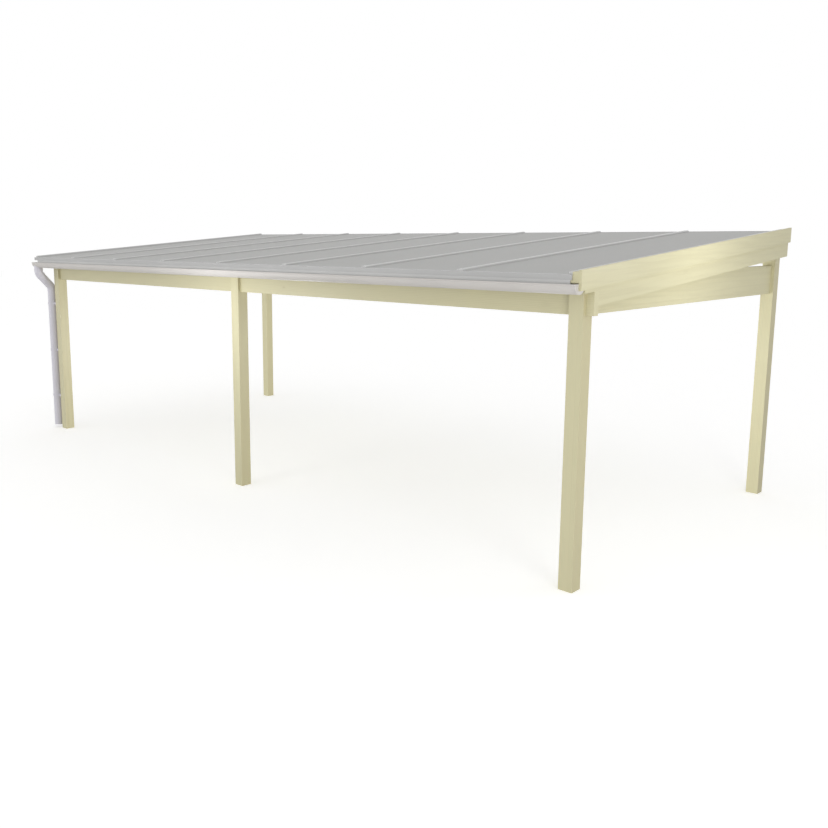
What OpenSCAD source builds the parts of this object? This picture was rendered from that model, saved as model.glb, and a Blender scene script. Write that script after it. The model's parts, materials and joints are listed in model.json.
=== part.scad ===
// Open garden room frame: timber posts and beams under a shallow lean-to roof of grey sheets,
// with a gutter and a downpipe along the low front edge.
// The origin is the centre of the middle front post's foot. X runs along the front, Y to the rear.

/* [Posts] */
// Width of the square posts
post_w = 120; // [110:1:130]
// Distance between the centres of neighbouring front posts
front_bay = 4055; // [3200:5:4400]
// Distance from the centre of a front post to the centre of the rear post
frame_depth = 3660; // [3000:5:4000]
// Clear height from the ground to the underside of the beams
clear_h = 2100; // [1950:5:2400]

/* [Beams] */
// Thickness of the front, side and rear beams
beam_t = 60; // [45:1:70]
// Height of the front beams
front_beam_h = 180; // [165:1:195]
// Height of the side beams
side_beam_h = 280; // [220:1:290]
// Height of the rear beam
rear_beam_h = 180; // [140:1:200]

/* [Rafters] */
// Pitch of the roof in degrees
roof_pitch = 4.7; // [4:0.1:5.5]
// Thickness of the inner rafters
rafter_t = 60; // [45:1:70]
// Depth of the inner rafters, square to the roof
rafter_h = 126; // [122:1:150]
// How far the rafter tails reach in front of the posts
tail_reach = 104; // [95:1:112]
// Thickness of the two outer rafters, which lie against the outside of the posts
outer_rafter_t = 65; // [45:1:80]
// Depth of the outer rafters, measured plumb
outer_rafter_h = 236; // [200:1:250]
// Depth of the right outer rafter's nose above the gutter, measured plumb from the ledge
nose_h = 41; // [30:1:42]
// Width of the ledge on the right outer rafter, which carries the last sheet
ledge_w = 15; // [10:1:30]
// Height of the right outer rafter's top above the roof sheets
outer_rise = 20; // [5:1:24]

/* [Barge board] */
// Thickness of the barge board
barge_t = 22; // [18:1:28]
// Height of the barge board, measured plumb
barge_h = 145; // [120:1:170]
// Height of the barge board's top above the roof sheets
barge_rise = 33; // [24:1:45]
// How far the barge board and the rafter's nose reach in front of the posts
barge_reach = 190; // [170:1:192]

/* [Roof sheets] */
// Thickness of the roof sheets
sheet_t = 16; // [10:1:20]
// Gap between neighbouring sheets
sheet_gap = 10; // [8:1:16]
// How far the roof reaches past the left posts
left_overhang = 150; // [140:1:170]
// How far the roof sheets reach in front of the posts
eaves_overhang = 195; // [194:1:205]
// How far the roof sheets reach behind the rear posts
rear_overhang = 8; // [4:1:40]

/* [Bars and edge profiles] */
// Width of the glazing bars on top of the sheets
bar_w = 60; // [40:1:70]
// Height of the glazing bars above the sheets
bar_h = 16; // [10:1:18]
// Thickness of the bars' webs, which stand on the rafters
bar_web = 6; // [3:0.5:7]
// Width of the bars along the two roof edges
edge_bar_w = 40; // [25:1:50]
// Height of the two edge bars above the sheets
edge_bar_h = 22; // [16:1:24]
// Wall of the edge profiles that close the sheets' ends
profile_t = 2; // [1.5:0.5:3]
// How far the edge profiles reach over the sheets
profile_lap = 22; // [15:1:30]
// Length of the eaves profile's front face below the sheets
front_leg = 20; // [10:1:26]
// How far the drip plate hangs down below the rafters' top, into the gutter
drip_drop = 57; // [50:1:75]
// Distance from the roof's left edge to the drip plate's left end
drip_inset = 85; // [40:1:140]
// Length of the rear and left edges' legs below the sheets
edge_leg = 12; // [5:1:16]

/* [Gutter] */
// Outside radius of the gutter's round bottom
gutter_r = 62.5; // [60:0.5:65]
// Height of the gutter's upright sides above the round bottom
gutter_side = 12; // [8:1:14]
// Wall of the gutter
gutter_t = 2.5; // [2:0.5:3]
// Radius of the bead along the gutter's front lip
bead_r = 6; // [4:0.5:7]
// Height of the gutter's rim above the front beams' top
gutter_rise = 55; // [45:1:58]
// How far the gutter's left end reaches past the roof's edge
gutter_past = 8; // [0:1:15]
// Thickness of the gutter brackets' plates on the rafter tails
bracket_t = 5; // [3:0.5:6]
// Thickness of the brackets' hooks over the gutter's back rim
hook_t = 3; // [2:0.5:4]
// How far the brackets' hooks reach forward over the gutter's back rim
hook_reach = 20; // [12:1:25]
// Width of the gutter brackets
bracket_w = 30; // [20:1:34]
// How far the brackets' plates reach down below the gutter's upright sides
bracket_drop = 50; // [20:1:55]

/* [Downpipe] */
// Outside radius of the downpipe
pipe_r = 55; // [50:0.5:56.5]
// Wall of the downpipe
pipe_t = 2.5; // [2:0.5:4]
// Distance from the gutter's left end to the centre of the outlet
outlet_inset = 57; // [56:0.5:60]
// Distance from the front face of the left post back to the upright pipe's centre
pipe_set = 2; // [0:1:10]
// Length of the straight pipe under the gutter
outlet_drop = 42; // [35:1:60]
// Turn of the neck's two bends, in degrees
neck_angle = 42; // [36:1:48]
// Radius of the neck's bends, to the middle of the pipe
bend_r = 90; // [80:1:110]
// Height of the pipe's open end above the ground
pipe_end = 40; // [20:1:150]
// Height of the collars round the downpipe's joints
collar_h = 24; // [15:1:30]
// Thickness of the collars
collar_t = 3; // [2:0.5:4]

/* [Pipe clips] */
// Height of the clips' band
clip_h = 30; // [20:1:40]
// Thickness of the band, the arm and the plate
clip_t = 4; // [3:0.5:5]
// Width of the plate on the post
clip_plate = 44; // [30:1:60]
// Height of the lowest clip above the ground
clip_low = 450; // [300:10:600]
// Distance from one clip to the next
clip_step = 650; // [500:10:700]
// Clearance round the pipe and under the gutter
clear = 0.3; // [0.2:0.1:0.5]

/* [Hidden] */
$fn = 48;

// Colours
timber = [0.84, 0.80, 0.64];
sheet_grey = [0.67, 0.67, 0.66];
bar_grey = [0.72, 0.72, 0.72];
gutter_grey = [0.80, 0.79, 0.80];

// Outer faces of the frame
right_x = front_bay + post_w / 2;
left_x = -right_x;
front_y = -post_w / 2;
rear_y = frame_depth + post_w / 2;

// The rafters rest on the front beams' inner edge and rise from there to the rear beam
rise = tan(roof_pitch);
front_top = clear_h + front_beam_h;
rear_top = front_top + frame_depth * rise;
rafter_v = rafter_h / cos(roof_pitch);
sheet_v = sheet_t / cos(roof_pitch);
function under(y) = front_top + (y - beam_t / 2) * rise;
function over(y) = under(y) + rafter_v;

// Edges of the roof and the spacing of its sheets
sheet_count = 8;
roof_left = left_x - left_overhang;
roof_right = right_x + outer_rafter_t;
sheet_pitch = (roof_right - roof_left) / sheet_count;
eaves_y = front_y - eaves_overhang;
back_y = rear_y + rear_overhang;
tail_y = front_y - tail_reach;
nose_y = front_y - barge_reach;
ledge_x = right_x + ledge_w;
bar_front = eaves_y + profile_lap;
bar_back = back_y - profile_lap;

// Gutter line and the path of the downpipe
gutter_y = tail_y - bracket_t - gutter_r;
gutter_top = front_top + gutter_rise;
gutter_z = gutter_top - gutter_side;
gutter_left = roof_left - gutter_past;
outlet_x = gutter_left + outlet_inset;
outlet_z = gutter_z - gutter_r - outlet_drop;
pipe_y = front_y + pipe_set;
neck_run = (pipe_y - gutter_y - 2 * bend_r * (1 - cos(neck_angle))) / sin(neck_angle);
neck_z = outlet_z - 2 * bend_r * sin(neck_angle) - neck_run * cos(neck_angle);

// A straight piece along X whose section is given as points [y, z]
module run(from_x, to_x, section) {
    translate([from_x, 0, 0])
        rotate([90, 0, 90])
            linear_extrude(to_x - from_x)
                polygon(section);
}

// A band that follows the rafters' top, from one height above it to another
function band(from_y, to_y, low, high) = [
    [from_y, over(from_y) + low], [to_y, over(to_y) + low],
    [to_y, over(to_y) + high], [from_y, over(from_y) + high]
];

// Square post with its foot on the ground
module post(x, y, top) {
    translate([x - post_w / 2, y - post_w / 2, 0])
        cube([post_w, post_w, top]);
}

// Front corner post, mortised for the front beam and as high as the side beam
module front_corner_post(x) {
    color(timber)
        difference() {
            post(x, 0, clear_h + side_beam_h);
            translate([x - post_w, -beam_t / 2, clear_h])
                cube([2 * post_w, beam_t, front_beam_h]);
        }
}

// Post with an open slot in its head, in which a beam lies
module slotted_post(x, y, top, beam_under) {
    color(timber)
        difference() {
            post(x, y, top);
            translate([x - post_w, y - beam_t / 2, beam_under])
                cube([2 * post_w, beam_t, top]);
        }
}

module front_left_post() {
    front_corner_post(-front_bay);
}

module front_middle_post() {
    slotted_post(0, 0, under(front_y), clear_h);
}

module front_right_post() {
    front_corner_post(front_bay);
}

module rear_left_post() {
    slotted_post(-front_bay, frame_depth, rear_top, rear_top - rear_beam_h);
}

module rear_right_post() {
    slotted_post(front_bay, frame_depth, rear_top, rear_top - rear_beam_h);
}

// Front beam, set in the middle of the posts
module front_beam(from_x, to_x) {
    color(timber)
        translate([from_x, -beam_t / 2, clear_h])
            cube([to_x - from_x, beam_t, front_beam_h]);
}

// The left front beam ends flush with the left post and meets its neighbour over the middle post
module front_left_beam() {
    front_beam(left_x, 0);
}

// The right front beam runs past the corner post and carries the outer rafter
module front_right_beam() {
    front_beam(0, roof_right);
}

// Side beam, level between a front and a rear post
module side_beam(x) {
    color(timber)
        translate([x - beam_t / 2, post_w / 2, clear_h])
            cube([beam_t, frame_depth - post_w, side_beam_h]);
}

module left_side_beam() {
    side_beam(-front_bay);
}

module right_side_beam() {
    side_beam(front_bay);
}

// Rear beam, in the slots of the rear posts
module rear_beam() {
    color(timber)
        translate([left_x, frame_depth - beam_t / 2, rear_top - rear_beam_h])
            cube([right_x - left_x, beam_t, rear_beam_h]);
}

// Inner rafter with a level seat on the front beam and one on the rear beam
module rafter(index) {
    x = roof_left + index * sheet_pitch;
    color(timber)
        run(x - rafter_t / 2, x + rafter_t / 2, [
            [tail_y, under(tail_y)],
            [-beam_t / 2, under(-beam_t / 2)],
            [-beam_t / 2, front_top],
            [beam_t / 2, front_top],
            [frame_depth - beam_t / 2, under(frame_depth - beam_t / 2)],
            [frame_depth - beam_t / 2, rear_top],
            [frame_depth + beam_t / 2, rear_top],
            [rear_y, under(rear_y)],
            [rear_y, over(rear_y)],
            [tail_y, over(tail_y)]
        ]);
}

// Outer rafter: deep behind the front beam, shallow over and in front of it
function outer_section(front, rise_over) = concat(
    [
        [tail_y, under(tail_y)],
        [-beam_t / 2, under(-beam_t / 2)],
        [-beam_t / 2, front_top],
        [beam_t / 2, front_top],
        [beam_t / 2, over(beam_t / 2) - outer_rafter_h],
        [back_y, over(back_y) - outer_rafter_h],
        [back_y, over(back_y) + rise_over],
        [front, over(front) + rise_over]
    ],
    front < tail_y ? [[front, over(front) - nose_h], [tail_y, over(tail_y) - nose_h]] : []
);

module left_outer_rafter() {
    color(timber)
        run(left_x - outer_rafter_t, left_x, outer_section(tail_y, 0));
}

// The last sheet lies on the ledge along the inner side of this rafter
module right_outer_rafter() {
    color(timber)
        union() {
            run(right_x, ledge_x, outer_section(nose_y, 0));
            run(ledge_x, roof_right, outer_section(nose_y, sheet_v + outer_rise));
        }
}

// Barge board on the outside of the right outer rafter
module barge_board() {
    barge_top = sheet_v + barge_rise;
    color(timber)
        run(roof_right, roof_right + barge_t, band(nose_y, back_y, barge_top - barge_h, barge_top));
}

// One roof sheet between the webs of two bars
module roof_sheet(index) {
    from_x = index == 1 ? roof_left + profile_t : roof_left + (index - 1) * sheet_pitch + sheet_gap / 2;
    to_x = index == sheet_count ? ledge_x : roof_left + index * sheet_pitch - sheet_gap / 2;
    color(sheet_grey)
        run(from_x, to_x, band(eaves_y, back_y, 0, sheet_v));
}

// Glazing bar: a cap over the joint of two sheets, and a web that stands on the rafter
module glazing_bar(index) {
    x = roof_left + index * sheet_pitch;
    color(bar_grey)
        union() {
            run(x - bar_w / 2, x + bar_w / 2, band(bar_front, bar_back, sheet_v, sheet_v + bar_h));
            run(x - bar_web / 2, x + bar_web / 2, band(bar_front, bar_back, 0, sheet_v));
        }
}

// Bar along the left edge, with a leg down past the sheet
module left_edge_bar() {
    color(bar_grey)
        union() {
            run(roof_left, roof_left + edge_bar_w, band(bar_front, bar_back, sheet_v, sheet_v + edge_bar_h));
            run(roof_left, roof_left + profile_t, band(bar_front, bar_back, -edge_leg, sheet_v));
        }
}

// Bar along the right edge, against the raised side of the outer rafter
module right_edge_bar() {
    color(bar_grey)
        run(ledge_x - edge_bar_w, ledge_x, band(bar_front, bar_back, sheet_v, sheet_v + edge_bar_h));
}

// Profile round the front ends of the sheets, with its lower flange on the rafters
module eaves_profile() {
    color(bar_grey)
        union() {
            run(roof_left, ledge_x, band(eaves_y - profile_t, eaves_y, -front_leg, sheet_v + profile_t));
            run(roof_left, ledge_x, band(eaves_y, bar_front, sheet_v, sheet_v + profile_t));
            run(roof_left, right_x, band(eaves_y, bar_front, -profile_t, 0));
        }
}

// Plate behind the eaves profile's front face, which hangs into the gutter; it starts a little in
// from the roof's left edge and stops at the right outer rafter
module drip_plate() {
    color(bar_grey)
        run(roof_left + drip_inset, right_x,
            band(eaves_y, eaves_y + profile_t, -drip_drop, -profile_t));
}

// Angle over the rear ends of the sheets
module rear_profile() {
    color(bar_grey)
        union() {
            run(roof_left, ledge_x, band(back_y, back_y + profile_t, -edge_leg, sheet_v + profile_t));
            run(roof_left, ledge_x, band(bar_back, back_y, sheet_v, sheet_v + profile_t));
        }
}

// Solid along X with the outline of a trough: a round bottom and upright sides
module trough_solid(from_x, to_x, radius, top) {
    translate([from_x, gutter_y, gutter_z])
        rotate([90, 0, 90])
            linear_extrude(to_x - from_x)
                union() {
                    difference() {
                        circle(r = radius);
                        translate([-2 * radius, 0])
                            square([4 * radius, 2 * radius]);
                    }
                    translate([-radius, 0])
                        square([2 * radius, top]);
                }
}

// Gutter with closed ends, a bead along the front lip and an outlet in its floor
module gutter() {
    color(gutter_grey)
        difference() {
            union() {
                difference() {
                    trough_solid(gutter_left, roof_right, gutter_r, gutter_side);
                    trough_solid(gutter_left + gutter_t, roof_right - gutter_t,
                        gutter_r - gutter_t, gutter_side + gutter_t);
                }
                translate([gutter_left, gutter_y - gutter_r, gutter_top - bead_r])
                    rotate([0, 90, 0])
                        cylinder(r = bead_r, h = roof_right - gutter_left);
            }
            translate([outlet_x, gutter_y, outlet_z])
                cylinder(r = pipe_r - pipe_t, h = gutter_r + outlet_drop);
        }
}

// Gutter bracket: a plate on the rafter's tail and a hook over the gutter's back rim
module gutter_bracket(x) {
    hook_under = gutter_side + clear;
    translate([x - bracket_w / 2, gutter_y + gutter_r, gutter_z])
        rotate([90, 0, 90])
            linear_extrude(bracket_w)
                union() {
                    translate([clear, -bracket_drop])
                        square([bracket_t - clear, bracket_drop + hook_under + hook_t]);
                    translate([-hook_reach, hook_under])
                        square([hook_reach + bracket_t, hook_t]);
                }
}

// One bracket on the tail of each rafter
module gutter_brackets() {
    color(gutter_grey)
        union() {
            gutter_bracket(left_x - outer_rafter_t / 2);
            gutter_bracket(right_x + outer_rafter_t / 2);
            for (index = [1 : sheet_count - 1])
                gutter_bracket(roof_left + index * sheet_pitch);
        }
}

// Section of the pipe's wall
module pipe_ring() {
    difference() {
        circle(r = pipe_r);
        circle(r = pipe_r - pipe_t);
    }
}

// Collar round the pipe, from its seat up
module pipe_collar() {
    linear_extrude(collar_h)
        difference() {
            circle(r = pipe_r + collar_t);
            circle(r = pipe_r - pipe_t / 2);
        }
}

// Bend with a straight tail; the tail ends in a collar
module pipe_bend(tail, collar_at) {
    union() {
        rotate_extrude(angle = neck_angle)
            translate([bend_r, 0])
                pipe_ring();
        translate([bend_r, 0, 0])
            rotate([90, 0, 0])
                linear_extrude(tail)
                    pipe_ring();
        translate([bend_r, -collar_at, 0])
            rotate([90, 0, 0])
                pipe_collar();
    }
}

// Outlet under the gutter, with the first bend of the swan neck
module upper_bend() {
    color(gutter_grey)
        difference() {
            translate([outlet_x, gutter_y + bend_r, outlet_z])
                rotate([90, 180, 90])
                    pipe_bend(gutter_r + outlet_drop, 0);
            trough_solid(outlet_x - 2 * pipe_r, outlet_x + 2 * pipe_r, gutter_r + clear, gutter_side);
        }
}

// Sloping neck with the second bend of the swan neck
module lower_bend() {
    color(gutter_grey)
        translate([outlet_x, pipe_y - bend_r, neck_z])
            rotate([90, 0, 90])
                rotate([0, 0, neck_angle])
                    mirror([0, 1, 0])
                        pipe_bend(neck_run, neck_run - collar_h);
}

// Upright pipe beside the left post, open at its lower end
module downpipe() {
    color(gutter_grey)
        union() {
            translate([outlet_x, pipe_y, pipe_end])
                linear_extrude(neck_z - pipe_end)
                    pipe_ring();
            translate([outlet_x, pipe_y, neck_z - collar_h])
                pipe_collar();
        }
}

// Clip: a band round the pipe, an arm and a plate on the left face of the post
module pipe_clip(level) {
    band_r = pipe_r + clear + clip_t;
    difference() {
        union() {
            translate([outlet_x, pipe_y, level])
                cylinder(r = band_r, h = clip_h);
            translate([outlet_x, pipe_y, level])
                cube([left_x - outlet_x, clip_t, clip_h]);
            translate([left_x - clip_t, pipe_y, level])
                cube([clip_t, clip_plate, clip_h]);
        }
        translate([outlet_x, pipe_y, level - clip_h])
            cylinder(r = pipe_r + clear, h = 3 * clip_h);
    }
}

module pipe_clips() {
    color(gutter_grey)
        union() {
            for (index = [0 : 2])
                pipe_clip(clip_low + index * clip_step);
        }
}

front_left_post();
front_middle_post();
front_right_post();
rear_left_post();
rear_right_post();
front_left_beam();
front_right_beam();
left_side_beam();
right_side_beam();
rear_beam();
rafter(1);  // rafter_1
rafter(2);  // rafter_2
rafter(3);  // rafter_3
rafter(4);  // rafter_4
rafter(5);  // rafter_5
rafter(6);  // rafter_6
rafter(7);  // rafter_7
left_outer_rafter();
right_outer_rafter();
barge_board();
roof_sheet(1);  // roof_sheet_1
roof_sheet(2);  // roof_sheet_2
roof_sheet(3);  // roof_sheet_3
roof_sheet(4);  // roof_sheet_4
roof_sheet(5);  // roof_sheet_5
roof_sheet(6);  // roof_sheet_6
roof_sheet(7);  // roof_sheet_7
roof_sheet(8);  // roof_sheet_8
left_edge_bar();
glazing_bar(1);  // glazing_bar_1
glazing_bar(2);  // glazing_bar_2
glazing_bar(3);  // glazing_bar_3
glazing_bar(4);  // glazing_bar_4
glazing_bar(5);  // glazing_bar_5
glazing_bar(6);  // glazing_bar_6
glazing_bar(7);  // glazing_bar_7
right_edge_bar();
eaves_profile();
drip_plate();
rear_profile();
gutter();
gutter_brackets();
upper_bend();
lower_bend();
downpipe();
pipe_clips();
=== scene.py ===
import json
import math

import bmesh
import bpy
from mathutils import Matrix, Vector

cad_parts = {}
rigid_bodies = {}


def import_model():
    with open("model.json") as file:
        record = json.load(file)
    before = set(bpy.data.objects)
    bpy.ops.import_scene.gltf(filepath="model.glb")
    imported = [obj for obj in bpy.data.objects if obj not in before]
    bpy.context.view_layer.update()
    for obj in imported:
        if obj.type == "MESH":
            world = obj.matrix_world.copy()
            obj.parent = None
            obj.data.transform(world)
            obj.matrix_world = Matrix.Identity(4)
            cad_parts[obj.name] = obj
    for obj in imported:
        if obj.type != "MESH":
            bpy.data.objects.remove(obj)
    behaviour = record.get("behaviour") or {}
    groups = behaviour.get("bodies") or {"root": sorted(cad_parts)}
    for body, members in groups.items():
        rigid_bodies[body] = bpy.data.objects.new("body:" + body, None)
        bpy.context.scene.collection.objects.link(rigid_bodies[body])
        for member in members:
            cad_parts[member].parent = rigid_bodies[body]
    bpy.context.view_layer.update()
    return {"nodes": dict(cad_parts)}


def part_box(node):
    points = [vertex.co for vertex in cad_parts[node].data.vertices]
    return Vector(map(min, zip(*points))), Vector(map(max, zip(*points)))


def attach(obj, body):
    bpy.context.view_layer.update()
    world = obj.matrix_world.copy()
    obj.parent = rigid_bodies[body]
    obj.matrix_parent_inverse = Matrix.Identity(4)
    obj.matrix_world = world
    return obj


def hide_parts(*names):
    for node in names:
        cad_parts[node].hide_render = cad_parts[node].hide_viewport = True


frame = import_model()
cadNodes = frame["nodes"]
print("frame:", len(cadNodes), "nodes")

# sizes that the roof's pieces share; the slope is the same for all of them
roof = {
    "pitch": 4.7,  # degrees
    "sheet": 0.016,  # thickness, square to the slope
    "count": 8,
}
pitch = math.radians(roof["pitch"])
slope = math.tan(pitch)
sheetPlumb = roof["sheet"] / math.cos(pitch)
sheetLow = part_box("roof_sheet_4")[0]


def sheetTop(y):
    # height of the sheets' upper face at this depth
    return sheetLow.z + sheetPlumb + (y - sheetLow.y) * slope


def addPiece(name, bm, material, replaced=()):
    mesh = bpy.data.meshes.new(name)
    bmesh.ops.recalc_face_normals(bm, faces=bm.faces)
    bm.to_mesh(mesh)
    bm.free()
    piece = bpy.data.objects.new(name, mesh)
    bpy.context.scene.collection.objects.link(piece)
    mesh.materials.append(material)
    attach(piece, "root")
    if replaced:
        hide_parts(*replaced)
    return piece


def easeEdges(piece, width):
    bevel = piece.modifiers.new("eased edges", "BEVEL")
    bevel.width = width
    bevel.segments = 2
    bevel.limit_method = "ANGLE"
    bevel.angle_limit = math.radians(30)
    bevel.harden_normals = True


def dressNode(node, material, edge=0.0):
    piece = cadNodes[node]
    piece.data.materials.clear()
    piece.data.materials.append(material)
    if edge:
        easeEdges(piece, edge)


def addSlopeRun(bm, section, fromY, toY):
    # a closed section of (x, height above the sheets), drawn out along the roof's slope
    rings = [[bm.verts.new((x, y, sheetTop(y) + height)) for x, height in section] for y in (fromY, toY)]
    bm.faces.new(rings[0])
    bm.faces.new(list(reversed(rings[1])))
    for i in range(len(section)):
        j = (i + 1) % len(section)
        bm.faces.new((rings[0][i], rings[1][i], rings[1][j], rings[0][j]))


# screw heads: reach and rise are shares of the head's radius and height
screwHead = {
    "steps": 24,
    "dome": [(1.0, 0.0), (0.97, 0.35), (0.86, 0.66), (0.68, 0.88), (0.52, 0.97)],
    "socket": [(0.42, 0.97), (0.42, 0.35)],  # six-sided, in the middle of the dome
    "crease": 40,  # degrees
}


def addScrewHead(bm, place, facing, radius, height):
    # a head on the face that looks along "facing"
    turn = Vector(facing).to_track_quat("Z", "Y").to_matrix().to_4x4()
    move = Matrix.Translation(place) @ turn
    steps = screwHead["steps"]
    rings = []
    for outline in ("dome", "socket"):
        for reach, rise in screwHead[outline]:
            ring = []
            for k in range(steps):
                angle = 2 * math.pi * k / steps
                out = radius * reach
                if outline == "socket":
                    out *= math.cos(math.pi / 6) / math.cos(angle % (math.pi / 3) - math.pi / 6)
                ring.append(bm.verts.new(move @ Vector((
                    out * math.cos(angle), out * math.sin(angle), height * rise))))
            rings.append(ring)
    for low, high in zip(rings, rings[1:]):
        for k in range(steps):
            bm.faces.new((low[k], low[(k + 1) % steps], high[(k + 1) % steps], high[k]))
    bm.faces.new(rings[-1])
    bm.faces.new(list(reversed(rings[0])))


def smoothBy(piece, degrees):
    for face in piece.data.polygons:
        face.use_smooth = True
    piece.data.set_sharp_from_angle(angle=math.radians(degrees))


def newMaterial(name):
    material = bpy.data.materials.new(name)
    material.use_nodes = True
    tree = material.node_tree
    return material, tree, tree.nodes["Principled BSDF"]


def addNode(tree, kind, inputs=None, **settings):
    node = tree.nodes.new(kind)
    for key, value in settings.items():
        setattr(node, key, value)
    for key, value in (inputs or {}).items():
        if isinstance(value, bpy.types.NodeSocket):
            tree.links.new(value, node.inputs[key])
        else:
            node.inputs[key].default_value = value
    return node


def calc(tree, operation, a, b=0.0, c=0.0, clamp=False):
    node = addNode(tree, "ShaderNodeMath", {0: a, 1: b, 2: c}, operation=operation)
    node.use_clamp = clamp
    return node.outputs[0]


def ramp(tree, value, low, high, toLow=0.0, toHigh=1.0):
    return addNode(tree, "ShaderNodeMapRange", {
        0: value, "From Min": low, "From Max": high, "To Min": toLow, "To Max": toHigh}).outputs[0]


def blend(tree, factor, first, second):
    return addNode(tree, "ShaderNodeMix", {0: factor, 6: first, 7: second}, data_type="RGBA").outputs[2]


def noise(tree, place, scale, detail, roughness=0.5, output="Fac"):
    return addNode(tree, "ShaderNodeTexNoise", {
        "Vector": place, "Scale": scale, "Detail": detail, "Roughness": roughness}).outputs[output]


def stretch(tree, place, scale):
    return addNode(tree, "ShaderNodeMapping", {"Vector": place, "Scale": scale}).outputs[0]


def shade(colour, share=1.0):
    return (*[c * share for c in colour], 1)


# planed laminated timber with a pale cream stain
timber = {
    "light": (0.655, 0.617, 0.402),
    "dark": (0.576, 0.536, 0.337),
    "knot": (0.40, 0.33, 0.18),
    "layer": 0.040,  # thickness of the rafters' glued layers
    "glueLine": 0.22,  # how strongly the lines between layers show
    "knotStrength": 0.26,
    "knotSpread": (5.2, 5.2, 1.9),  # places for a knot to the metre, across and along the grain
    "easedEdge": 0.003,
    "gloss": 0.38,
}
along = {"x": (0, math.pi / 2, 0), "y": (math.pi / 2, 0, 0), "z": (0, 0, 0)}


def timberMaterial(name, length, layerCount=0):
    # "length" is the axis of the grain; with no layerCount the layers follow the roof's slope
    material, tree, shader = newMaterial(name)
    coords = addNode(tree, "ShaderNodeTexCoord")
    place = coords.outputs["Object"]
    turned = addNode(tree, "ShaderNodeMapping", {"Vector": place, "Rotation": along[length]}).outputs[0]
    chance = addNode(tree, "ShaderNodeObjectInfo").outputs["Random"]

    # glued layers: a number for each one, and a fine line between them
    if layerCount:
        across = addNode(tree, "ShaderNodeSeparateXYZ", {0: coords.outputs["Generated"]})
        layers = calc(tree, "MULTIPLY", across.outputs["X" if length == "z" else "Z"], layerCount)
    else:
        parts = addNode(tree, "ShaderNodeSeparateXYZ", {0: place})
        roofLine = calc(tree, "MULTIPLY_ADD", parts.outputs["Y"], slope, sheetTop(0.0) - sheetPlumb)
        layers = calc(tree, "DIVIDE", calc(tree, "SUBTRACT", roofLine, parts.outputs["Z"]), timber["layer"])
    layerNumber = calc(tree, "FLOOR", layers)
    fromMiddle = calc(tree, "ABSOLUTE", calc(tree, "SUBTRACT", calc(tree, "FRACT", layers), 0.5))
    glueLine = ramp(tree, fromMiddle, 0.482, 0.5)
    layerChance = addNode(tree, "ShaderNodeTexWhiteNoise", {
        "W": calc(tree, "ADD", layerNumber, calc(tree, "MULTIPLY", chance, 97.0))},
        noise_dimensions="1D").outputs["Value"]

    # each layer is a board of its own, so the grain jumps from one to the next
    jump = addNode(tree, "ShaderNodeCombineXYZ", {
        "X": calc(tree, "MULTIPLY", layerChance, 0.31),
        "Y": calc(tree, "MULTIPLY_ADD", chance, 3.7, layerChance),
        "Z": calc(tree, "MULTIPLY_ADD", chance, 41.0, calc(tree, "MULTIPLY", layerChance, 23.0)),
    }).outputs[0]
    board = addNode(tree, "ShaderNodeVectorMath", {0: turned, 1: jump}).outputs[0]
    sway = noise(tree, stretch(tree, board, (1.0, 1.0, 0.35)), 1.5, 1.0, output="Color")
    swayed = addNode(tree, "ShaderNodeVectorMath", {0: sway, 1: (0.020, 0.020, 0.0), 2: board},
                     operation="MULTIPLY_ADD").outputs[0]
    drawn = stretch(tree, swayed, (1.0, 1.0, 0.030))
    rings = addNode(tree, "ShaderNodeTexWave", {
        "Vector": drawn, "Scale": 42.0, "Distortion": 2.2, "Detail": 2.0,
        "Detail Scale": 1.2, "Detail Roughness": 0.5}, wave_type="RINGS", rings_direction="Z").outputs["Fac"]
    summer = calc(tree, "POWER", rings, 2.2)  # the darker part of each ring is the narrow one
    fibres = noise(tree, drawn, 640.0, 4.0, 0.62)
    pores = noise(tree, stretch(tree, board, (1.0, 1.0, 0.06)), 1900.0, 1.0)
    cloud = noise(tree, board, 1.7, 2.0)

    # small sound knots, far apart, with the grain a little darker round them
    knotReach = addNode(tree, "ShaderNodeTexVoronoi", {
        "Vector": stretch(tree, board, timber["knotSpread"]), "Scale": 1.0}).outputs["Distance"]
    knots = ramp(tree, knotReach, 0.026, 0.046, 1.0, 0.0)
    halo = ramp(tree, knotReach, 0.030, 0.130, 0.45, 0.0)

    tone = calc(tree, "MULTIPLY", summer, 0.30)
    tone = calc(tree, "MULTIPLY_ADD", fibres, 0.30, tone)
    tone = calc(tree, "MULTIPLY_ADD", cloud, 0.26, tone)
    tone = calc(tree, "MULTIPLY_ADD", layerChance, 0.12, tone)
    tone = calc(tree, "ADD", tone, calc(tree, "MULTIPLY", halo, 0.5), clamp=True)
    knot = shade(timber["knot"])
    stained = blend(tree, ramp(tree, tone, 0.22, 0.95), shade(timber["light"]), shade(timber["dark"]))
    knotted = blend(tree, calc(tree, "MULTIPLY", knots, timber["knotStrength"]), stained, knot)
    lined = blend(tree, calc(tree, "MULTIPLY", glueLine, timber["glueLine"]), knotted, knot)
    tree.links.new(lined, shader.inputs["Base Color"])

    gloss = calc(tree, "MULTIPLY_ADD", fibres, 0.14, timber["gloss"])
    tree.links.new(calc(tree, "MULTIPLY_ADD", summer, -0.05, gloss), shader.inputs["Roughness"])
    relief = calc(tree, "MULTIPLY_ADD", fibres, 0.45, calc(tree, "MULTIPLY", pores, 0.25))
    relief = calc(tree, "MULTIPLY_ADD", summer, 0.30, relief)
    relief = calc(tree, "MULTIPLY_ADD", glueLine, -0.50, relief)
    bump = addNode(tree, "ShaderNodeBump", {"Strength": 0.22, "Distance": 0.0010, "Height": relief})
    tree.links.new(bump.outputs[0], shader.inputs["Normal"])
    shader.inputs["Specular IOR Level"].default_value = 0.42
    return material


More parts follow.
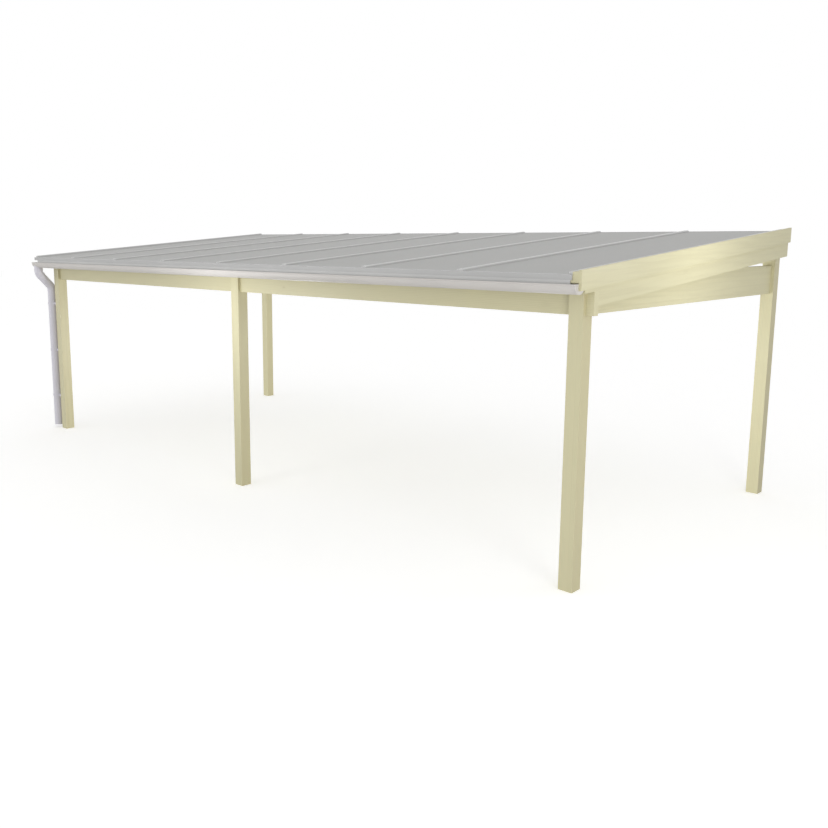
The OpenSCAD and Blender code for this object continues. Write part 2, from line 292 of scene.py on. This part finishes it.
postTimber = timberMaterial("creamTimberPost", "z", 3)
beamTimber = timberMaterial("creamTimberBeam", "x", 4)
sideTimber = timberMaterial("creamTimberSideBeam", "y", 7)
rafterTimber = timberMaterial("creamTimberRafter", "y")

for node in cadNodes:
    if node.endswith("_post"):
        dressNode(node, postTimber, timber["easedEdge"])
    elif node in ("front_left_beam", "front_right_beam", "rear_beam"):
        dressNode(node, beamTimber, timber["easedEdge"])
    elif node.endswith("side_beam"):
        dressNode(node, sideTimber, timber["easedEdge"])
    elif "rafter" in node or node == "barge_board":
        dressNode(node, rafterTimber, timber["easedEdge"])
print("timber: posts, beams, rafters and barge board dressed")

# grey multiwall roof sheets
sheets = {
    "colour": (0.398, 0.398, 0.383),
    "ribs": 0.020,  # between the walls inside the sheet
    "gloss": 0.36,
    "easedEdge": 0.0008,
}


def sheetMaterial():
    material, tree, shader = newMaterial("greyRoofSheet")
    place = addNode(tree, "ShaderNodeTexCoord").outputs["Object"]
    across = addNode(tree, "ShaderNodeSeparateXYZ", {0: place}).outputs["X"]
    wave = calc(tree, "SINE", calc(tree, "MULTIPLY", across, math.pi / sheets["ribs"]))
    ribs = calc(tree, "POWER", calc(tree, "ABSOLUTE", wave), 0.35)
    cloud = noise(tree, place, 1.3, 3.0)
    rain = noise(tree, stretch(tree, place, (1.0, 0.05, 1.0)), 26.0, 3.0)
    dust = noise(tree, place, 130.0, 4.0)
    tone = calc(tree, "MULTIPLY", ribs, 0.40)
    tone = calc(tree, "MULTIPLY_ADD", cloud, 0.30, tone)
    tone = calc(tree, "MULTIPLY_ADD", rain, 0.18, tone)
    tone = calc(tree, "MULTIPLY_ADD", dust, 0.12, tone, clamp=True)
    base = sheets["colour"]
    colour = blend(tree, ramp(tree, tone, 0.35, 0.85), shade(base, 0.93), shade(base, 1.04))
    tree.links.new(colour, shader.inputs["Base Color"])
    tree.links.new(calc(tree, "MULTIPLY_ADD", dust, 0.18, sheets["gloss"]), shader.inputs["Roughness"])
    relief = calc(tree, "MULTIPLY_ADD", dust, 0.15, ribs)
    bump = addNode(tree, "ShaderNodeBump", {"Strength": 0.10, "Distance": 0.0006, "Height": relief})
    tree.links.new(bump.outputs[0], shader.inputs["Normal"])
    return material


sheetFinish = sheetMaterial()
for number in range(1, roof["count"] + 1):
    dressNode(f"roof_sheet_{number}", sheetFinish, sheets["easedEdge"])
print("roof sheets: dressed")

# factory finishes of the profiles, the rain goods and the small parts; the caps, their rubber lips and the
# drip plate are made paler than their real finish, as painted light that lifts their shade
finishes = {
    # pale coating, made paler still: painted light that lifts the shade on the caps' sides
    "paleCapLightenedForShade": {"colour": (0.660, 0.660, 0.652), "roughness": 0.40},
    "greyCoatedProfile": {"colour": (0.482, 0.482, 0.477), "roughness": 0.36},
    # painted light: paler than the eaves profile to lift the shade under the profile's lip
    "dripLightenedForShade": {"colour": (0.620, 0.620, 0.612), "roughness": 0.36},
    "paleGutterPlastic": {"colour": (0.620, 0.594, 0.568), "roughness": 0.46},
    "palePipePlastic": {"colour": (0.672, 0.656, 0.715), "roughness": 0.42},
    # pale grey rubber, made paler still: painted light that lifts the shade along the bars
    "paleGasketLightenedForShade": {"colour": (0.660, 0.660, 0.652), "roughness": 0.62, "speckle": 0.06},
    "zincScrew": {"colour": (0.50, 0.50, 0.49), "roughness": 0.34, "speckle": 0.08, "metal": 0.85},
}


def coatedMaterial(name):
    # smooth finish: faint cloud, orange peel and a few patches of grime
    finish = finishes[name]
    colour, roughness, speckle = finish["colour"], finish["roughness"], finish.get("speckle", 0.03)
    grime = 0.05  # how strongly the patches show
    material, tree, shader = newMaterial(name)
    place = addNode(tree, "ShaderNodeTexCoord").outputs["Object"]
    cloud = noise(tree, place, 2.2, 3.0)
    peel = noise(tree, place, 850.0, 2.0)
    marks = noise(tree, place, 38.0, 5.0, 0.7)
    tone = calc(tree, "MULTIPLY_ADD", cloud, 0.7, calc(tree, "MULTIPLY", peel, 0.3))
    fresh = blend(tree, ramp(tree, tone, 0.3, 0.7), shade(colour, 1 - speckle), shade(colour, 1 + speckle))
    patches = calc(tree, "MULTIPLY", ramp(tree, marks, 0.55, 0.80), grime)
    worn = blend(tree, patches, fresh, shade(colour, 0.55))
    tree.links.new(worn, shader.inputs["Base Color"])
    tree.links.new(calc(tree, "MULTIPLY_ADD", marks, 0.12, roughness - 0.06), shader.inputs["Roughness"])
    bump = addNode(tree, "ShaderNodeBump", {"Strength": 0.07, "Distance": 0.0003, "Height": peel})
    tree.links.new(bump.outputs[0], shader.inputs["Normal"])
    shader.inputs["Metallic"].default_value = finish.get("metal", 0.0)
    return material


capLightenedFinish = coatedMaterial("paleCapLightenedForShade")
profileFinish = coatedMaterial("greyCoatedProfile")
dripLightenedFinish = coatedMaterial("dripLightenedForShade")
gutterFinish = coatedMaterial("paleGutterPlastic")
pipeFinish = coatedMaterial("palePipePlastic")
gasketLightenedFinish = coatedMaterial("paleGasketLightenedForShade")
screwFinish = coatedMaterial("zincScrew")

# bars: crowned caps with rubber lips; the glazing bars have a plate at each end
bars = {
    "side": 0.0055,  # upright part of the cap's side
    "shoulder": 0.009,  # width of the rounded shoulder
    "shoulderRise": 0.86,  # how much of the height above the side it takes
    "crown": 0.14,  # from the cap's middle to where its last rise begins, as a share of its width
    "crownRise": 0.985,  # height where that begins, as a share of the cap's height
    "crease": 28,  # degrees
    "lip": 0.0022,  # height of the rubber under the cap
    "lipWidth": 0.006,
    "lipOut": 0.0016,  # how far the rubber shows beyond the cap
    "lipEdge": 0.0014,  # height of the edge bars' rubber at its right side
    "endPlate": 0.003,
    "endGap": 0.0002,  # from the end plates down to the sheets
    "web": 0.006,  # thickness of the web between two sheets
    "leg": 0.002,  # thickness of the left edge profile's leg
    "legBelow": 0.012,  # how far that leg reaches below the sheet
    "easedEdge": 0.0009,  # on the eaves and rear profiles
    "easedDrip": 0.0004,
}


def capSection(low, high, height, lift):
    # crowned outline from one lower corner over the top to the other
    points = [(low, lift)]
    side, shoulder = bars["side"], bars["shoulder"]
    steps = 6
    for k in range(steps + 1):
        angle = math.pi / 2 * k / steps
        points.append((low + shoulder * (1 - math.cos(angle)),
                       side + (height - side) * bars["shoulderRise"] * math.sin(angle)))
    middle = (low + high) / 2
    points.append((middle - (high - low) * bars["crown"], height * bars["crownRise"]))
    points.append((middle, height))
    points += [(low + high - x, h) for x, h in reversed(points[:-1])]
    return points


def addGlazingCap(node):
    low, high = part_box(node)
    height = high.z - sheetTop(high.y)
    lip, out, plate = bars["lip"], bars["lipOut"], bars["endPlate"]
    bm = bmesh.new()
    addSlopeRun(bm, capSection(low.x + out, high.x - out, height, lip), low.y + plate, high.y - plate)
    for fromY in (low.y, high.y - plate):
        addSlopeRun(bm, capSection(low.x, high.x, height, bars["endGap"]), fromY, fromY + plate)
    middle = (low.x + high.x) / 2
    web = bars["web"] / 2
    addSlopeRun(bm, [(middle - web, -sheetPlumb), (middle + web, -sheetPlumb),
                     (middle + web, lip), (middle - web, lip)], low.y, high.y)
    cap = addPiece("cap_" + node, bm, capLightenedFinish, (node,))
    smoothBy(cap, bars["crease"])
    rubber = bmesh.new()
    wide = bars["lipWidth"]
    for x in (low.x, high.x - wide):
        addSlopeRun(rubber, [(x, 0.0), (x + wide, 0.0), (x + wide, lip),
                             (x + wide * 0.2, lip), (x, lip * 0.6)], low.y + plate, high.y - plate)
    addPiece("gasket_" + node, rubber, gasketLightenedFinish)


def addEdgeCap(node, hasLeg):
    low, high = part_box(node)
    height = high.z - sheetTop(high.y)
    lip, out, plate = bars["lip"], bars["lipOut"], bars["endPlate"]
    bm = bmesh.new()
    section = capSection(low.x, high.x, height, 0.0)
    if hasLeg:  # the leg past the sheet's edge is part of the same profile
        leg = bars["leg"]
        drop = sheetPlumb + bars["legBelow"]
        section = [(low.x, -drop)] + section[1:] + [(low.x + leg, 0.0), (low.x + leg, -drop)]
    else:  # a square side against the raised rafter
        half = len(section) // 2
        section = section[:half + 1] + [(high.x, height), (high.x, 0.0)]
    addSlopeRun(bm, section, low.y, high.y)
    cap = addPiece("cap_" + node, bm, capLightenedFinish, (node,))
    smoothBy(cap, bars["crease"])
    rubber = bmesh.new()
    x = high.x if hasLeg else low.x - out
    addSlopeRun(rubber, [(x, 0.0), (x + out, 0.0), (x + out, bars["lipEdge"]),
                         (x + out / 2, lip), (x, lip)], low.y + plate, high.y - plate)
    addPiece("gasket_" + node, rubber, gasketLightenedFinish)


for number in range(1, roof["count"]):
    addGlazingCap(f"glazing_bar_{number}")
addEdgeCap("left_edge_bar", hasLeg=True)
addEdgeCap("right_edge_bar", hasLeg=False)
for node in ("eaves_profile", "rear_profile"):
    dressNode(node, profileFinish, bars["easedEdge"])
# the drip plate's paler colour is painted light against the shade it sits in
dressNode("drip_plate", dripLightenedFinish, bars["easedDrip"])
print("bars: caps, rubber lips and edge profiles")

# gutter and downpipe keep their shapes; the screws are added
clips = {
    "easedEdge": 0.0006,
    "count": 3,
    "height": 0.030,
    "plate": 0.004,  # thickness of the plate on the post
    "screwsBehindFront": (0.019, 0.037),  # from the post's front face
    "headRadius": 0.0055,
    "headHeight": 0.003,
}
brackets = {
    "easedEdge": 0.0006,
    "width": 0.030,
    "plate": 0.0047,  # thickness of the plate on the rafter's tail
    "screwAbove": 0.010,  # from the plate's lower edge
    "screwAside": 0.008,  # to both sides of the plate's middle
    "headRadius": 0.0045,
    "headHeight": 0.0024,
}


def addClipScrews():
    bm = bmesh.new()
    low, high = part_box("pipe_clips")
    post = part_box("front_left_post")[0]
    step = (high.z - low.z - clips["height"]) / (clips["count"] - 1)
    for k in range(clips["count"]):
        level = low.z + clips["height"] / 2 + k * step
        for behind in clips["screwsBehindFront"]:
            place = (post.x - clips["plate"], post.y + behind, level)
            addScrewHead(bm, place, (-1, 0, 0), clips["headRadius"], clips["headHeight"])
    piece = addPiece("clip_screws", bm, screwFinish)
    smoothBy(piece, screwHead["crease"])


def addBracketScrews():
    bm = bmesh.new()
    low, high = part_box("gutter_brackets")
    half = brackets["width"] / 2
    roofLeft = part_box("left_edge_bar")[0].x
    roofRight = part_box("right_outer_rafter")[1].x
    spacing = (roofRight - roofLeft) / roof["count"]
    middles = [low.x + half, high.x - half]  # one bracket at each end, and one on each inner rafter
    middles += [roofLeft + k * spacing for k in range(1, roof["count"])]
    for x in middles:
        for side in (-brackets["screwAside"], brackets["screwAside"]):
            place = (x + side, high.y - brackets["plate"], low.z + brackets["screwAbove"])
            addScrewHead(bm, place, (0, -1, 0), brackets["headRadius"], brackets["headHeight"])
    piece = addPiece("bracket_screws", bm, screwFinish)
    smoothBy(piece, screwHead["crease"])


dressNode("gutter", gutterFinish)
for node in ("upper_bend", "lower_bend", "downpipe"):
    dressNode(node, pipeFinish)
dressNode("pipe_clips", pipeFinish, clips["easedEdge"])
dressNode("gutter_brackets", gutterFinish, brackets["easedEdge"])
addClipScrews()
addBracketScrews()
print("gutter and downpipe: dressed, screws added")

# floor, light and camera
stage = {
    "floorReach": 60.0,  # half the floor's side
    "floorColour": (0.86, 0.86, 0.86),
    "floorGlow": 0.40,  # seen by the camera only
    "worldLight": 0.68,
}
lamps = {
    "frontFar": {"place": (0, -20.0, 1.6), "aim": (0, 1.8, 1.4), "size": 8.0, "power": 415},
    "leftLamp": {"place": (-12.0, -12.0, 1.6), "aim": (-3, 1.8, 1.4), "size": 6.0, "power": 385},
    "cornerLamp": {"place": (9.0, -2.5, 1.6), "aim": (4.2, 0.5, 1.6), "size": 2.5, "power": 100},
    "sideLamp": {"place": (5.35, 1.6, 2.5), "aim": (4.2, 1.6, 2.5), "size": 0.25, "power": 6.8},
    "frontLamp": {"place": (-0.05, -1.25, 1.75), "aim": (-0.05, 0, 2.15), "size": 0.4, "power": 6.5,
                  "spares": ("eaves_profile", "drip_plate")},
    "roomLeft": {"kind": "POINT", "place": (-1.5, 1.8, 0.9), "size": 0.8, "power": 140,
                 "spares": ("floor",)},
    "roomRight": {"kind": "POINT", "place": (2.6, 1.6, 1.2), "size": 0.8, "power": 72,
                  "spares": ("floor",)},
}


def stageFloor():
    bm = bmesh.new()
    bmesh.ops.create_grid(bm, x_segments=1, y_segments=1, size=stage["floorReach"])
    mesh = bpy.data.meshes.new("floor")
    bm.to_mesh(mesh)
    bm.free()
    floor = bpy.data.objects.new("floor", mesh)
    bpy.context.scene.collection.objects.link(floor)
    material, tree, shader = newMaterial("paleFloor")
    shader.inputs["Base Color"].default_value = (*stage["floorColour"], 1)
    shader.inputs["Roughness"].default_value = 0.9
    shader.inputs["Specular IOR Level"].default_value = 0.1
    ray = addNode(tree, "ShaderNodeLightPath").outputs["Is Camera Ray"]
    strength = calc(tree, "MULTIPLY", ray, stage["floorGlow"])
    glow = addNode(tree, "ShaderNodeEmission", {"Strength": strength})
    both = addNode(tree, "ShaderNodeAddShader", {0: shader.outputs[0], 1: glow.outputs[0]})
    tree.links.new(both.outputs[0], tree.nodes["Material Output"].inputs["Surface"])
    mesh.materials.append(material)
    return floor


def stageWorld():
    world = bpy.data.worlds.new("softWorld")
    bpy.context.scene.world = world
    world.use_nodes = True
    tree = world.node_tree
    back = tree.nodes["Background"]
    path = addNode(tree, "ShaderNodeLightPath")
    seen = calc(tree, "MAXIMUM", path.outputs["Is Camera Ray"], path.outputs["Is Glossy Ray"])
    tree.links.new(ramp(tree, seen, 0.0, 1.0, stage["worldLight"], 1.0), back.inputs["Strength"])
    back.inputs["Color"].default_value = (1, 1, 1, 1)


def addLamp(name, settings):
    light = bpy.data.lights.new(name, settings.get("kind", "AREA"))
    light.energy = settings["power"]
    if light.type == "AREA":
        light.shape = "DISK"
        light.size = settings["size"]
    else:
        light.shadow_soft_size = settings["size"] / 2
    lamp = bpy.data.objects.new(name, light)
    bpy.context.scene.collection.objects.link(lamp)
    lamp.location = settings["place"]
    if "aim" in settings:
        aim = Vector(settings["aim"]) - Vector(settings["place"])
        lamp.rotation_euler = aim.to_track_quat("-Z", "Y").to_euler()
    lamp.visible_camera = False
    if "spares" in settings:
        # light linking: the floor keeps its shadow and the eaves profile its even tone
        spared = bpy.data.collections.new(name + "Spared")
        for number, spare in enumerate(settings["spares"]):
            spared.objects.link(bpy.data.objects[spare])
            spared.collection_objects[number].light_linking.link_state = "EXCLUDE"
        lamp.light_linking.receiver_collection = spared


view = {
    "place": (7.327, -5.562, 2.638),
    "turn": 45.157,  # degrees, from looking along the depth towards the left
    "tilt": -9.258,
    "lens": 37.40,
    "shift": (0.0713, -0.0409),
}


def addCamera():
    data = bpy.data.cameras.new("camera")
    data.lens = view["lens"]
    data.sensor_width = 36.0
    data.shift_x, data.shift_y = view["shift"]
    camera = bpy.data.objects.new("camera", data)
    bpy.context.scene.collection.objects.link(camera)
    camera.location = view["place"]
    camera.rotation_euler = (math.radians(90 + view["tilt"]), 0, math.radians(view["turn"]))
    bpy.context.scene.camera = camera


floor = stageFloor()
stageWorld()
for name, settings in lamps.items():
    addLamp(name, settings)
addCamera()
bpy.context.scene.view_settings.view_transform = "Standard"
print("stage: floor, light and camera")
